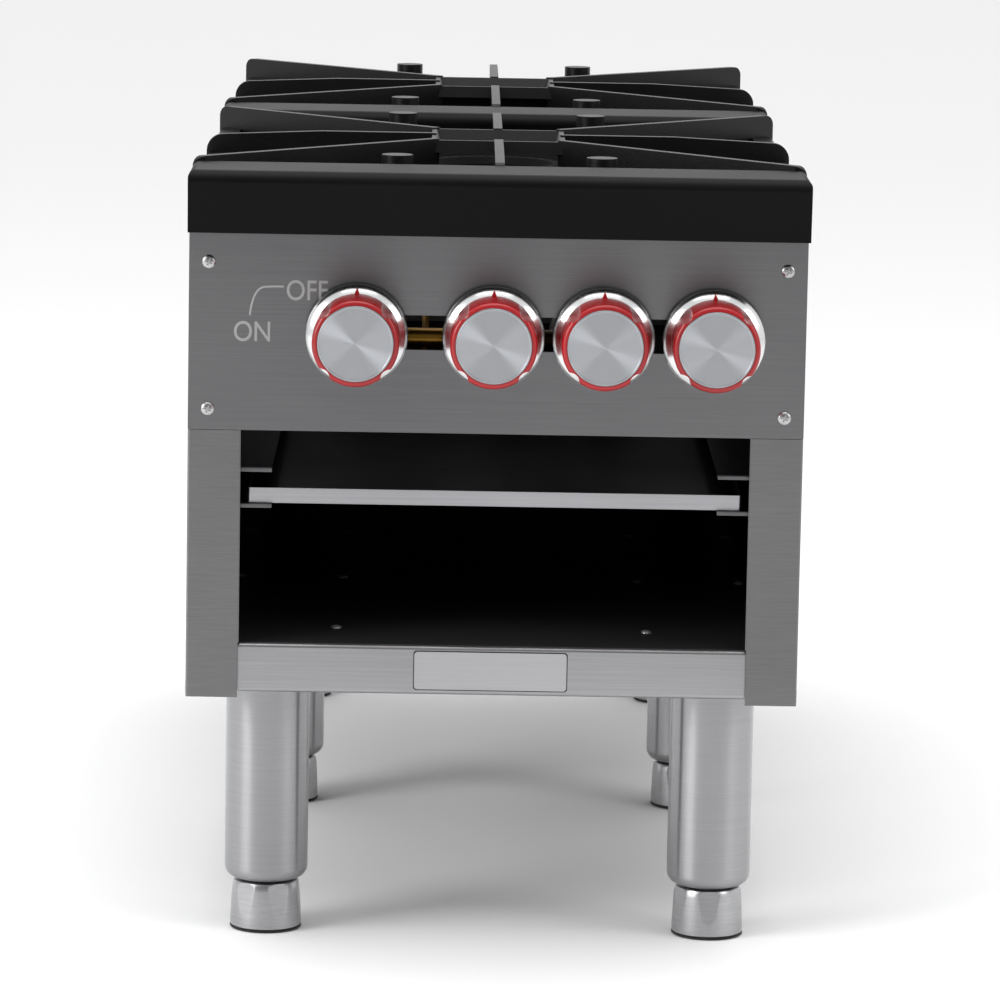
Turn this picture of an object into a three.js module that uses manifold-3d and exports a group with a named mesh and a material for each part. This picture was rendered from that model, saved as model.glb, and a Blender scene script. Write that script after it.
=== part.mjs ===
// Stock pot range: a narrow floor range with two open gas burners, one behind the other, an open
// base with a pull-out drip tray, and six adjustable legs.
// Millimetres, +Z up, front towards -Y. The origin is on the floor under the middle of the range.
// Inside the functions, y is measured back from the face of the front panel.

import * as THREE from 'three';
import { mergeVertices } from 'three/addons/utils/BufferGeometryUtils.js';
import Module from 'manifold-3d';

const wasm = await Module();
wasm.setup();

// ---- Driving dimensions ----

// Body
const bodyWidth = 457.2;
const bodyDepth = 1067;
const bodyBottom = 190.5;
const shelfRise = 40.7;
const trayRise = 105.4;
const ledgeRise = 55.9;
const valveRise = 73.1;
const burnerRise = 29.4;
const deckRise = 70;
const panelDrop = 24;
const stileWidth = 39.4;
const sheet = 1.5;
const bendRadius = 2.5;
const seat = 0.3;
const edgeReturn = 4.5;
const ledgeReturn = 40;
const wallFlange = 20;
const deckFlange = 25;
const footFlange = 22;
const rearFlange = 32;
const rearLedge = 41;

// Bottom shelf and the channels under it
const lipHeight = 37.2;
const shelfSetback = 3.6;
const shelfClearance = 1;
const shelfHem = 15;
const channelWidth = 90;
const channelHem = 15;
const channelDrop = 31.5;
const channelSheet = 2;

// Drip tray and its guides
const trayMargin = 41.6;
const trayHeight = 11.3;
const traySetback = 10;
const trayBackMargin = 27;
const traySheet = 1.2;
const guideSheet = 3;
const guideOpening = 24;
const guideReach = 61;
const guideSetback = 5;
const guideBackMargin = 12;
const guideBend = 4;

// Front rail and centre rail
const railRise = 23;
const railFront = 31;
const railDepth = 75;
const railGap = 0.8;
const railLean = 4;
const railEdgeRadius = 9;
const railEndRadius = 5.5;

// Grates
const grateGap = 2;
const grateBackGap = 5;
const grateInset = 1.6;
const rimWidth = 16;
const rimHeight = 8.5;
const ribRise = 27;
const ribThickness = 7;
const ribDepth = 21;
const crossRibDrop = 3.5;
const longRibDrop = 2;
const diagonalDrop = 0.5;
const ribOverhang = 0.4;
const crossRibEnd = 13;
const diagonalEnd = 8;
const longRibEnd = 4;
const hubHalf = 52;
const hubDrop = 1.2;
const hubHeight = 9.5;
const hubTopWidth = 3.5;
const hubTaper = 2.5;
const hubInnerTaper = 5;
const lugRadius = 11.7;
const lugDrop = 0.3;
const lugAcross = 77;
const lugInset = 37.5;

// Burners
const ringHeight = 25;
const ringChamfer = 6;
const outerRing = { inner: 104, width: 24 };
const innerRing = { inner: 48, width: 20 };
const venturiRadius = 14;
const venturiBore = 11;
const mouthRadius = 19;
const mouthLength = 20;
const mouthY = 76;
const rearMouthSetback = 201.5;
const shutterThickness = 2;
const bracketDrop = 20;
const bracketMargin = 2;

// Gas line
const valveRadius = 11;
const valveFront = -1;
const valveBack = 42;
const hoodRadius = 7;
const nutRadius = 10;
const nutLength = 8;
const noseRadius = 6.5;
const noseLength = 7;
const stemRadius = 4;
const stemDepth = 14;
const stemReach = 34;
const manifoldY = 26;
const manifoldDrop = 37.6;
const pipeRadius = 13.4;
const pipeWall = 3;
const pipeClearance = 2;
const manifoldInset = 36.6;
const bossRadius = 10;
const bossHeight = 16;
const hangerInset = 78.6;
const hangerSize = { across: 24, along: 16 };
const feedInset = 38.6;
const elbowRadius = 16;
const elbowReach = 17;
const socketLength = 14;
const inletReach = 35;
const supplyRadius = 5;
const supplyStart = 60;
const supplyStraight = 120;
const supplySwing = 60;
const hoodLength = 26;
const plateAbove = 20.4;
const plateBelow = 15.6;
const plateThickness = 3;
const frontPilotOffset = 50;
const rearPilotOffset = 40.5;
const pilotStub = 16;
const pilotRadius = 8;
const pilotLength = 30;
const pilotTubeRadius = 3;
const pilotTipRadius = 5;
const pilotRunDrop = 21.6;
const pilotLead = 14;
const pilotDropRun = 50;
const pilotTipRun = 34;
const pilotTipGap = 15;
const pilotTipDrop = 8;

// Knobs: a pair for the front burner on the left, and a pair for the rear burner on the right
const frontKnobXs = [-104, -3];
const rearKnobInset = 68.6;
const rearKnobPitch = 81.5;
const knobGap = 4;
const knobReach = 60;
const skirtRadius = 38;
const skirtDepth = 12;
const skirtSheet = 1.2;
const skirtHole = 20;
const gripRadius = 32;
const gripNotches = 4;
const gripDish = 3.2;
const capRadius = 27.9;
const capThickness = 1.6;
const slotHeight = 25.8;
const slotLift = 1.8;
const slotMargin = 16;

// Legs and feet
const legInset = 59.6;
const legSetback = 68.5;
const legRadius = 31.7;
const legWall = 1.6;
const legEndRadius = 9;
const legPlateRadius = 45;
const legPlate = 4;
const legBottom = 39;
const footRadius = 27.2;
const footNeck = 24.6;
const footBand = 7;
const footHexFlats = 50;
const footStemRadius = 12.7;
const footStemTop = 110;

// ---- Derived places ----

const halfWidth = bodyWidth / 2;
const wallInside = halfWidth - sheet;
const cavityHalf = halfWidth - stileWidth;
const insideHalf = wallInside - seat;
const shelfTop = bodyBottom + shelfRise;
const trayBottom = shelfTop + trayRise;
const cavityTop = trayBottom + ledgeRise;
const valveHeight = cavityTop + valveRise;
const burnerHeight = valveHeight + burnerRise;
const deckHeight = burnerHeight + deckRise;
const panelTop = deckHeight - panelDrop;

const legAcross = halfWidth - legInset;
const channelUnderside = shelfTop - sheet - seat - channelDrop;
const legTop = channelUnderside - seat;
const legRows = [legSetback, bodyDepth / 2, bodyDepth - legSetback];
const guideFloor = trayBottom - seat;

const rest = deckHeight + seat;
const railTop = deckHeight + railRise;
const railFaceBottom = panelTop + railGap;
const railRear = railDepth - railFront;
const grateDepth = (bodyDepth - rearLedge - railRear - railDepth - grateBackGap) / 2 - grateGap;
const sectionPitch = railDepth + grateGap + grateDepth + grateBackGap;
const hubY = railRear + grateGap + grateDepth / 2;
const burnerRows = [hubY, hubY + sectionPitch];
const ribTop = deckHeight + ribRise;
const crossRibHalf = halfWidth + ribOverhang;
const lugTop = ribTop - lugDrop;
const lugAlong = grateDepth / 2 - lugInset;

const rearKnobX = halfWidth - rearKnobInset;
const knobXs = [...frontKnobXs, rearKnobX - rearKnobPitch, rearKnobX];
const pilotXs = { front: knobXs[0] + frontPilotOffset, rear: knobXs[2] - rearPilotOffset };
const hangerHalf = halfWidth - hangerInset;
const outerRingOutside = outerRing.inner + outerRing.width;
const manifoldHeight = valveHeight - manifoldDrop;
const tapTop = manifoldHeight + bossHeight;
const feedX = halfWidth - feedInset;
const manifoldLeft = manifoldInset - halfWidth;
const manifoldRight = feedX - elbowReach;
const pilotHeight = tapTop + pilotStub;
const pilotRunHeight = valveHeight - pilotRunDrop;
const rearMouthY = burnerRows[1] - rearMouthSetback;
const rearVenturiXs = { outer: knobXs[3] - supplySwing, inner: knobXs[2] - supplySwing };
const hoodEnd = rearMouthY + 2 * plateThickness;
const plateY = rearMouthY - 2 * plateThickness;

// ---- Materials ----

function metal(colour, roughness, metalness = 1) {
  return new THREE.MeshStandardMaterial({ color: colour, roughness, metalness });
}

const stainless = metal(0xb9b7b4, 0.38);
const aluminised = metal(0x8d8c89, 0.5);
const castIron = metal(0x2b2b2c, 0.7, 0.6);
const blackPaint = metal(0x1c1c1d, 0.45, 0.2);
const chrome = metal(0xd8d9da, 0.12);
const brass = metal(0xb8923f, 0.35);
const blackPipe = metal(0x3a3938, 0.55, 0.7);
const aluminium = metal(0xd0d0ce, 0.28);
const redPlastic = metal(0xc8202a, 0.35, 0);

// ---- Solids ----

// A closed geometry as a solid: shared corners are merged and slivers on an axis are dropped.
function solidOf(geometry) {
  const bare = geometry.clone();
  bare.deleteAttribute('normal');
  bare.deleteAttribute('uv');
  const merged = mergeVertices(bare, 1e-4);
  const corners = Float32Array.from(merged.attributes.position.array);
  const triangles = [];
  const index = merged.index.array;
  for (let i = 0; i < index.length; i += 3) {
    const [a, b, c] = [index[i], index[i + 1], index[i + 2]];
    if (a !== b && b !== c && c !== a) triangles.push(a, b, c);
  }
  if (signedVolume(corners, triangles) < 0) triangles.reverse();
  const mesh = new wasm.Mesh({
    numProp: 3,
    vertProperties: corners,
    triVerts: Uint32Array.from(triangles),
  });
  return new wasm.Manifold(mesh);
}

function signedVolume(corners, triangles) {
  const at = (i) => new THREE.Vector3(corners[3 * i], corners[3 * i + 1], corners[3 * i + 2]);
  let volume = 0;
  for (let i = 0; i < triangles.length; i += 3) {
    const [a, b, c] = [at(triangles[i]), at(triangles[i + 1]), at(triangles[i + 2])];
    volume += a.dot(b.cross(c));
  }
  return volume;
}

function geometryOf(solid) {
  const mesh = solid.getMesh();
  const geometry = new THREE.BufferGeometry();
  geometry.setAttribute('position', new THREE.BufferAttribute(mesh.vertProperties, 3));
  geometry.setIndex(new THREE.BufferAttribute(mesh.triVerts, 1));
  geometry.computeVertexNormals();
  return geometry;
}

function joined(solids) {
  return solids.reduce((whole, piece) => whole.add(piece));
}

const toAxis = {
  x: new THREE.Matrix4().makeBasis(
    new THREE.Vector3(0, 1, 0), new THREE.Vector3(0, 0, 1), new THREE.Vector3(1, 0, 0)),
  y: new THREE.Matrix4().makeBasis(
    new THREE.Vector3(1, 0, 0), new THREE.Vector3(0, 0, 1), new THREE.Vector3(0, -1, 0)),
  z: new THREE.Matrix4(),
};

// A flat outline pushed along an axis. The outline is drawn in (y, z), (x, z) or (x, y).
function prism(shape, axis, from, to, curveSegments = 4) {
  const geometry = new THREE.ExtrudeGeometry(shape, {
    depth: to - from,
    bevelEnabled: false,
    curveSegments,
  });
  geometry.applyMatrix4(toAxis[axis]);
  const start = { x: [from, 0, 0], y: [0, to, 0], z: [0, 0, from] }[axis];
  geometry.translate(...start);
  return solidOf(geometry);
}

// A profile of [radius, distance along the axis] turned about an axis through a point.
function turned(profile, axis, at, segments = 12) {
  const points = profile.map(([radius, along]) => new THREE.Vector2(radius, along));
  const geometry = new THREE.LatheGeometry(points, segments);
  if (axis === 'x') geometry.rotateZ(-Math.PI / 2);
  if (axis === 'z') geometry.rotateX(Math.PI / 2);
  geometry.translate(...at);
  return solidOf(geometry);
}

function rod(radius, axis, at, from, to, segments = 12) {
  return turned([[0, from], [radius, from], [radius, to], [0, to]], axis, at, segments);
}

function box(x, y, z) {
  const geometry = new THREE.BoxGeometry(x[1] - x[0], y[1] - y[0], z[1] - z[0]);
  geometry.translate((x[0] + x[1]) / 2, (y[0] + y[1]) / 2, (z[0] + z[1]) / 2);
  return solidOf(geometry);
}

function outline(points) {
  return new THREE.Shape(points.map(([a, b]) => new THREE.Vector2(a, b)));
}

function roundedRectangle(left, bottom, right, top, radius) {
  const shape = new THREE.Shape();
  shape.moveTo(left + radius, bottom);
  shape.lineTo(right - radius, bottom);
  shape.absarc(right - radius, bottom + radius, radius, -Math.PI / 2, 0);
  shape.lineTo(right, top - radius);
  shape.absarc(right - radius, top - radius, radius, 0, Math.PI / 2);
  shape.lineTo(left + radius, top);
  shape.absarc(left + radius, top - radius, radius, Math.PI / 2, Math.PI);
  shape.lineTo(left, bottom + radius);
  shape.absarc(left + radius, bottom + radius, radius, Math.PI, 1.5 * Math.PI);
  return shape;
}

// The section of a folded sheet: a centre line given thickness, with a round bend at each corner.
function foldedSheet(line, thickness, radius = bendRadius) {
  const bendSteps = 3;
  const points = line.map(([a, b]) => new THREE.Vector2(a, b));
  const left = [];
  const right = [];
  const addPair = (point, normal) => {
    left.push(point.clone().addScaledVector(normal, thickness / 2));
    right.push(point.clone().addScaledVector(normal, -thickness / 2));
  };
  const direction = (i) => points[i + 1].clone().sub(points[i]).normalize();
  const normalOf = (along) => new THREE.Vector2(-along.y, along.x);
  addPair(points[0], normalOf(direction(0)));
  for (let i = 1; i < points.length - 1; i++) {
    const before = direction(i - 1);
    const turn = Math.atan2(before.cross(direction(i)), before.dot(direction(i)));
    const side = Math.sign(turn);
    const normal = normalOf(before);
    const centre = points[i].clone()
      .addScaledVector(before, -radius * Math.tan(Math.abs(turn) / 2))
      .addScaledVector(normal, side * radius);
    for (let step = 0; step <= bendSteps; step++) {
      const turnedNormal = normal.clone().rotateAround(new THREE.Vector2(), turn * step / bendSteps);
      addPair(centre.clone().addScaledVector(turnedNormal, -side * radius), turnedNormal);
    }
  }
  addPair(points[points.length - 1], normalOf(direction(points.length - 2)));
  return new THREE.Shape([...left, ...right.reverse()]);
}

// A round tube along a path, open at both ends when it has a bore.
function tube(path, radius, bore, steps, sides = 12) {
  const circle = (r) => Array.from({ length: sides }, (_, i) => {
    const angle = 2 * Math.PI * i / sides;
    return new THREE.Vector2(r * Math.cos(angle), r * Math.sin(angle));
  });
  const section = new THREE.Shape(circle(radius));
  if (bore > 0) section.holes.push(new THREE.Path(circle(bore)));
  return solidOf(new THREE.ExtrudeGeometry(section, { extrudePath: path, steps }));
}

// ---- Body ----

// The control panel: a flat face with a long slot behind the knobs, folded back at both edges.
function frontPanel() {
  const face = roundedRectangle(-halfWidth, cavityTop, halfWidth, panelTop, 1);
  const slotLeft = knobXs[0] - slotMargin;
  const slotRight = knobXs[3] + slotMargin;
  const slotBottom = valveHeight + slotLift - slotHeight / 2;
  face.holes.push(roundedRectangle(slotLeft, slotBottom, slotRight, slotBottom + slotHeight, 3));
  const ledge = foldedSheet([
    [sheet / 2, cavityTop + shelfHem], [sheet / 2, cavityTop + sheet / 2],
    [ledgeReturn, cavityTop + sheet / 2],
  ], sheet, sheet);
  const topReturn = foldedSheet([
    [sheet / 2, panelTop - shelfHem], [sheet / 2, panelTop - sheet / 2],
    [shelfHem * 2, panelTop - sheet / 2],
  ], sheet, sheet);
  const returnHalf = wallInside - wallFlange - seat;
  return joined([
    prism(face, 'y', 0, sheet, 2),
    prism(ledge, 'x', -cavityHalf, cavityHalf),
    prism(topReturn, 'x', -returnHalf, returnHalf),
  ]);
}

// A side wall folded from one sheet. Under the control panel its front flange is the stile that
// shows beside the opening, and above that a narrower flange stands behind the panel.
function sidePanel(side) {
  const wall = side * (halfWidth - sheet / 2);
  const behind = sheet + seat + sheet / 2;
  const back = bodyDepth - behind;
  const inward = (reach) => wall - side * reach;
  const overlap = 12;
  const lap = overlap - 3;
  const stileTop = cavityTop - seat;
  const wallSection = foldedSheet([
    [wall, overlap - lap], [wall, back], [inward(wallFlange), back],
  ], sheet);
  const stileSection = foldedSheet([
    [inward(stileWidth - sheet), sheet / 2], [wall, sheet / 2], [wall, overlap],
  ], sheet, 1);
  const flangeSection = foldedSheet([
    [inward(wallFlange), behind], [wall, behind], [wall, overlap],
  ], sheet, 1);
  const topSection = foldedSheet([
    [inward(deckFlange), deckHeight - sheet / 2], [wall, deckHeight - sheet / 2],
    [wall, deckHeight - overlap],
  ], sheet);
  const bottomSection = foldedSheet([
    [inward(footFlange), bodyBottom + sheet / 2], [wall, bodyBottom + sheet / 2],
    [wall, bodyBottom + overlap],
  ], sheet);
  const start = behind - sheet / 2;
  const edge = side * cavityHalf;
  const edgeWall = [edge, edge + side * sheet].sort((a, b) => a - b);
  return joined([
    prism(wallSection, 'z', bodyBottom + lap, deckHeight - lap),
    prism(stileSection, 'z', bodyBottom, stileTop),
    prism(flangeSection, 'z', stileTop, deckHeight - lap),
    box(edgeWall, [sheet / 2, edgeReturn], [shelfTop + shelfClearance, stileTop]),
    prism(topSection, 'y', start, bodyDepth - start),
    prism(bottomSection, 'y', sheet / 2, bodyDepth - start),
  ]);
}

function backPanel() {
  const plate = box([-halfWidth, halfWidth], [bodyDepth - sheet, bodyDepth], [bodyBottom, deckHeight]);
  const ledge = foldedSheet([
    [bodyDepth - rearFlange, deckHeight - sheet / 2],
    [bodyDepth - sheet / 2, deckHeight - sheet / 2],
    [bodyDepth - sheet / 2, deckHeight - shelfHem],
  ], sheet, sheet);
  const ledgeHalf = wallInside - deckFlange;
  const hole = rod(pipeRadius + pipeClearance, 'y', [feedX, 0, manifoldHeight], bodyDepth - 5, bodyDepth + 5);
  return plate.add(prism(ledge, 'x', -ledgeHalf, ledgeHalf)).subtract(hole);
}

function bottomShelf() {
  const face = shelfSetback + sheet / 2;
  const top = shelfTop - sheet / 2;
  const bottom = shelfTop - lipHeight + sheet / 2;
  const back = bodyDepth - shelfSetback - sheet;
  const section = foldedSheet([
    [face + shelfHem, bottom], [face, bottom], [face, top], [back, top], [back, top - shelfHem],
  ], sheet);
  const half = wallInside - shelfClearance;
  return prism(section, 'x', -half, half);
}

// A hat-shaped channel under the shelf, with the legs bolted to its underside.
function legChannel(y) {
  const under = shelfTop - sheet - seat - channelSheet / 2;
  const floor = channelUnderside + channelSheet / 2;
  const half = channelWidth / 2;
  const section = foldedSheet([
    [y - half - channelHem, under], [y - half, under], [y - half, floor],
    [y + half, floor], [y + half, under], [y + half + channelHem, under],
  ], channelSheet, 3);
  return prism(section, 'x', -insideHalf, insideHalf);
}

function trayGuide(side) {
  const wall = side * (insideHalf - guideSheet / 2);
  const edge = side * (insideHalf - guideReach);
  const lower = guideFloor - guideSheet / 2;
  const upper = guideFloor + guideOpening + guideSheet / 2;
  const section = foldedSheet([[edge, lower], [wall, lower], [wall, upper], [edge, upper]],
    guideSheet, guideBend);
  return prism(section, 'y', guideSetback, bodyDepth - guideBackMargin);
}

// A shallow pan with round corners, open on top.
function tray() {
  const half = insideHalf - trayMargin;
  const back = bodyDepth - trayBackMargin;
  const outer = roundedRectangle(-half, traySetback, half, back, 4);
  const inner = roundedRectangle(-half + traySheet, traySetback + traySheet, half - traySheet,
    back - traySheet, 4 - traySheet);
  const faceCorners = roundedRectangle(-half, trayBottom, half, trayBottom + trayHeight, 2.5);
  const body = prism(outer, 'z', trayBottom, trayBottom + trayHeight, 2)
    .intersect(prism(faceCorners, 'y', 0, bodyDepth, 2));
  return body.subtract(prism(inner, 'z', trayBottom + traySheet, trayBottom + 2 * trayHeight, 2));
}

// The section of a top rail: flat on top, with a round front edge.
function railSection(front, rear, faceBottom, rearBottom, topInset, radius) {
  const top = railTop - topInset;
  const shape = new THREE.Shape();
  shape.moveTo(rear - topInset, rearBottom);
  shape.lineTo(rear - topInset, top);
  shape.lineTo(front + radius, top);
  shape.absarc(front + radius, top - radius, radius, Math.PI / 2, Math.PI);
  shape.lineTo(front + (faceBottom < rearBottom ? railLean : 0), faceBottom);
  return shape;
}

// A hollow pressed rail with closed round-cornered ends, standing on the side panels.
function rail(front, hangsInFront) {
  const rear = front + railDepth;
  const outer = railSection(front, rear, hangsInFront ? railFaceBottom : rest, rest, 0, railEdgeRadius);
  const inner = railSection(front + sheet, rear, hangsInFront ? railFaceBottom + sheet : rest - 5,
    rest - 5, sheet, railEdgeRadius - sheet);
  if (hangsInFront) {
    outer.lineTo(-seat, railFaceBottom);
    outer.lineTo(-seat, rest);
    inner.lineTo(-seat - sheet, railFaceBottom + sheet);
    inner.lineTo(-seat - sheet, rest + sheet);
    inner.lineTo(sheet, rest + sheet);
    inner.lineTo(sheet, rest - 5);
  }
  const ends = (half, inset) => {
    const radius = railEndRadius - inset;
    return roundedRectangle(-half + inset, 0, half - inset, railTop - inset, radius);
  };
  const shell = (section, inset) => prism(section, 'x', -halfWidth + inset, halfWidth - inset, 8)
    .intersect(prism(ends(halfWidth, inset), 'y', front - 5, rear + 5, 5));
  return shell(outer, 0).subtract(shell(inner, sheet));
}

// ---- Grates ----

// One upright rib of a grate, from the hub outwards, turned to its angle about the hub. Its top
// falls a little over the outer half and ends in a round corner.
function rib(angle, start, end, drop, endRadius, hub) {
  const flat = (start + end) / 2;
  const endTop = ribTop - drop;
  const shape = new THREE.Shape();
  shape.moveTo(start, ribTop - ribDepth);
  shape.lineTo(end - rimWidth * 1.5, ribTop - ribDepth);
  shape.lineTo(end - rimWidth, rest);
  shape.lineTo(end, rest);
  shape.lineTo(end, endTop - endRadius);
  shape.absarc(end - endRadius, endTop - endRadius, endRadius, 0, Math.PI / 2);
  shape.lineTo(flat, ribTop);
  shape.lineTo(start, ribTop);
  const geometry = new THREE.ExtrudeGeometry(shape, {
    depth: ribThickness,
    bevelEnabled: false,
    curveSegments: 4,
  });
  geometry.translate(0, 0, -ribThickness / 2);
  geometry.rotateX(Math.PI / 2);
  geometry.rotateZ(angle);
  geometry.translate(0, hub, 0);
  return solidOf(geometry);
}

// A block on a square base that narrows upwards, or downwards where the top is the larger.
function squareTaper(bottomHalf, topHalf, from, to, hub) {
  const geometry = new THREE.CylinderGeometry(
    topHalf * Math.SQRT2, bottomHalf * Math.SQRT2, to - from, 4);
  geometry.rotateY(Math.PI / 4);
  geometry.rotateX(Math.PI / 2);
  geometry.translate(0, hub, (from + to) / 2);
  return solidOf(geometry);
}

// An open cast grate: a low rim, eight ribs that carry the pot, a square hub and four lugs.
function grate(hub) {
  const halfDepth = grateDepth / 2;
  const grateHalf = halfWidth - grateInset;
  const frame = (half, along, radius) =>
    roundedRectangle(-half, hub - along, half, hub + along, radius);
  const rim = frame(grateHalf, halfDepth, 8);
  rim.holes.push(frame(grateHalf - rimWidth, halfDepth - rimWidth, 5));
  const hubTop = ribTop - hubDrop;
  const hubFloor = hubTop - hubHeight;
  const inside = hubHalf - hubTopWidth;
  const hubRing = squareTaper(hubHalf + hubTaper, hubHalf, hubFloor, hubTop, hub)
    .subtract(squareTaper(inside - hubInnerTaper, inside, hubFloor, hubTop, hub));
  const pieces = [prism(rim, 'z', rest, rest + rimHeight, 2), hubRing];
  const corner = inside * Math.SQRT2;
  const diagonalReach = crossRibHalf * Math.SQRT2 - ribThickness / 2;
  for (let quarter = 0; quarter < 4; quarter++) {
    const angle = quarter * Math.PI / 2;
    const across = quarter % 2 === 0;
    pieces.push(across
      ? rib(angle, inside, crossRibHalf, crossRibDrop, crossRibEnd, hub)
      : rib(angle, inside, halfDepth, longRibDrop, longRibEnd, hub));
    pieces.push(rib(angle + Math.PI / 4, corner, diagonalReach, diagonalDrop, diagonalEnd, hub));
  }
  for (const side of [-1, 1]) {
    for (const end of [-1, 1]) {
      const x = side * lugAcross;
      const y = hub + end * lugAlong;
      const rimInside = hub + end * (halfDepth - rimWidth / 2);
      const tab = [y, rimInside].sort((a, b) => a - b);
      pieces.push(rod(lugRadius, 'z', [x, y, 0], rest, lugTop, 16));
      pieces.push(box([x - lugRadius, x + lugRadius], tab, [rest, rest + rimHeight]));
    }
  }
  const bounds = box([-crossRibHalf, crossRibHalf], [hub - halfDepth, hub + halfDepth], [rest, ribTop]);
  return joined(pieces).intersect(bounds);
}

// ---- Burners ----

function venturiNeckY(ring, hub, x) {
  const middle = ring.inner + ring.width / 2;
  return hub - Math.sqrt(middle * middle - x * x);
}

// A cast ring burner with its mixing tube, whose mouth closes round the gas hood.
function burner(ring, hub, x, mouth) {
  const base = [0, hub, burnerHeight];
  const outside = ring.inner + ring.width;
  const body = turned([
    [ring.inner, 0], [outside, 0], [outside, ringHeight - ringChamfer],
    [outside - ringChamfer, ringHeight], [ring.inner + ringChamfer, ringHeight],
    [ring.inner, ringHeight - ringChamfer], [ring.inner, 0],
  ], 'z', base, 24);
  const neckY = venturiNeckY(ring, hub, x);
  const neck = rod(venturiRadius, 'z', [x, neckY, 0], valveHeight, burnerHeight + ringChamfer);
  const end = neckY + venturiRadius - 4;
  const flare = mouth + mouthLength;
  const wall = venturiRadius - venturiBore;
  const mixer = turned([
    [0, end], [venturiRadius, end], [venturiRadius, flare], [mouthRadius, mouth],
    [hoodRadius + seat, mouth], [hoodRadius + seat, mouth + shutterThickness],
    [mouthRadius - wall, mouth + shutterThickness], [venturiBore, flare],
    [venturiBore, end - wall], [0, end - wall],
  ], 'y', [x, 0, valveHeight], 12);
  return joined([body, neck, mixer]);
}

// An inverted channel across the body, under the back of both rings of a burner.
function burnerBracket(hub) {
  const top = burnerHeight - seat - sheet / 2;
  const front = hub + innerRing.inner - bracketMargin;
  const back = hub + outerRingOutside + bracketMargin;
  const section = foldedSheet([
    [front, top - bracketDrop], [front, top], [back, top], [back, top - bracketDrop],
  ], sheet);
  return prism(section, 'x', -insideHalf, insideHalf);
}

// A plate across the body that holds the gas hoods of the rear burner.
function orificeBracket() {
  const plate = box([-insideHalf, insideHalf], [plateY, plateY + plateThickness],
    [valveHeight - plateBelow, valveHeight + plateAbove]);
  const holes = Object.values(rearVenturiXs).map((x) => rod(hoodRadius + seat, 'y',
    [x, plateY, valveHeight], -plateThickness, 2 * plateThickness));
  return plate.subtract(joined(holes));
}

// ---- Gas line ----

function manifold() {
  const bore = pipeRadius - pipeWall;
  const pipe = turned([
    [0, manifoldLeft], [pipeRadius, manifoldLeft], [pipeRadius, manifoldRight],
    [bore, manifoldRight], [bore, manifoldLeft + pipeWall], [0, manifoldLeft + pipeWall],
  ], 'x', [0, manifoldY, manifoldHeight]);
  const taps = [...knobXs, ...Object.values(pilotXs)].map((x) =>
    rod(bossRadius, 'z', [x, manifoldY, 0], manifoldHeight + bore, tapTop));
  const hangers = [-hangerHalf, hangerHalf].map((x) => box(
    [x - hangerSize.across / 2, x + hangerSize.across / 2],
    [manifoldY - hangerSize.along / 2, manifoldY + hangerSize.along / 2],
    [cavityTop + sheet + seat, manifoldHeight - bore - 1],
  ));
  return joined([pipe, ...taps, ...hangers]);
}

// An elbow on the manifold's end, and a pipe from it along the right wall to behind the range.
function feedPipe() {
  const bend = feedX - manifoldRight - seat;
  const bore = pipeRadius - pipeWall;
  const start = new THREE.Vector3(manifoldRight + seat, manifoldY, manifoldHeight);
  const corner = start.clone().setX(feedX);
  const end = corner.clone().setY(manifoldY + bend);
  const quarterTurn = new THREE.CubicBezierCurve3(
    start, start.clone().lerp(corner, 0.55), end.clone().lerp(corner, 0.55), end);
  const socket = new THREE.LineCurve3(end, end.clone().setY(end.y + socketLength));
  const pipe = new THREE.LineCurve3(
    end.clone().setY(end.y + 1), end.clone().setY(bodyDepth + inletReach));
  const collar = tube(socket, elbowRadius + 2, bore + 0.6, 1, 14);
  return joined([
    tube(quarterTurn, elbowRadius, bore + 0.3, 6, 14), collar,
    tube(pipe, pipeRadius, bore, 1, 14),
  ]);
}

// A brass valve: nut and nose in front, a round body on the manifold, and a gas hood behind.
function valve(x, end) {
  const at = [x, 0, valveHeight];
  const nutFront = valveFront + noseLength;
  const body = turned([
    [0, valveFront], [noseRadius, valveFront], [noseRadius, nutFront], [noseRadius, nutFront + nutLength],
    [valveRadius, nutFront + nutLength], [valveRadius, valveBack], [hoodRadius, valveBack],
    [hoodRadius, end], [0, end],
  ], 'y', at);
  const nut = rod(nutRadius, 'y', at, nutFront, nutFront + nutLength + 1, 6);
  const stub = rod(hoodRadius, 'z', [x, manifoldY, 0], tapTop + seat, valveHeight);
  const stemBore = rod(stemRadius + seat, 'y', at, valveFront - 5, stemDepth + seat);
  return joined([body, nut, stub]).subtract(stemBore);
}

// A bent tube from a valve's hood to the hood of the rear burner.
function supplyTube(fromX, toX) {
  const point = (x, y) => new THREE.Vector3(x, y, valveHeight);
  const hoodStart = hoodEnd - hoodLength;
  const bendStart = supplyStart + supplyStraight;
  const bendEnd = hoodStart - supplyStraight;
  const middle = (bendStart + bendEnd) / 2;
  const path = new THREE.CatmullRomCurve3([
    point(fromX, supplyStart + seat), point(fromX, bendStart), point((fromX + toX) / 2, middle),
    point(toX, bendEnd), point(toX, hoodStart + 2),
  ], false, 'centripetal');
  const hood = rod(hoodRadius, 'y', point(toX, 0).toArray(), hoodStart, hoodEnd);
  return tube(path, supplyRadius, 0, 14, 8).add(hood);
}

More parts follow.
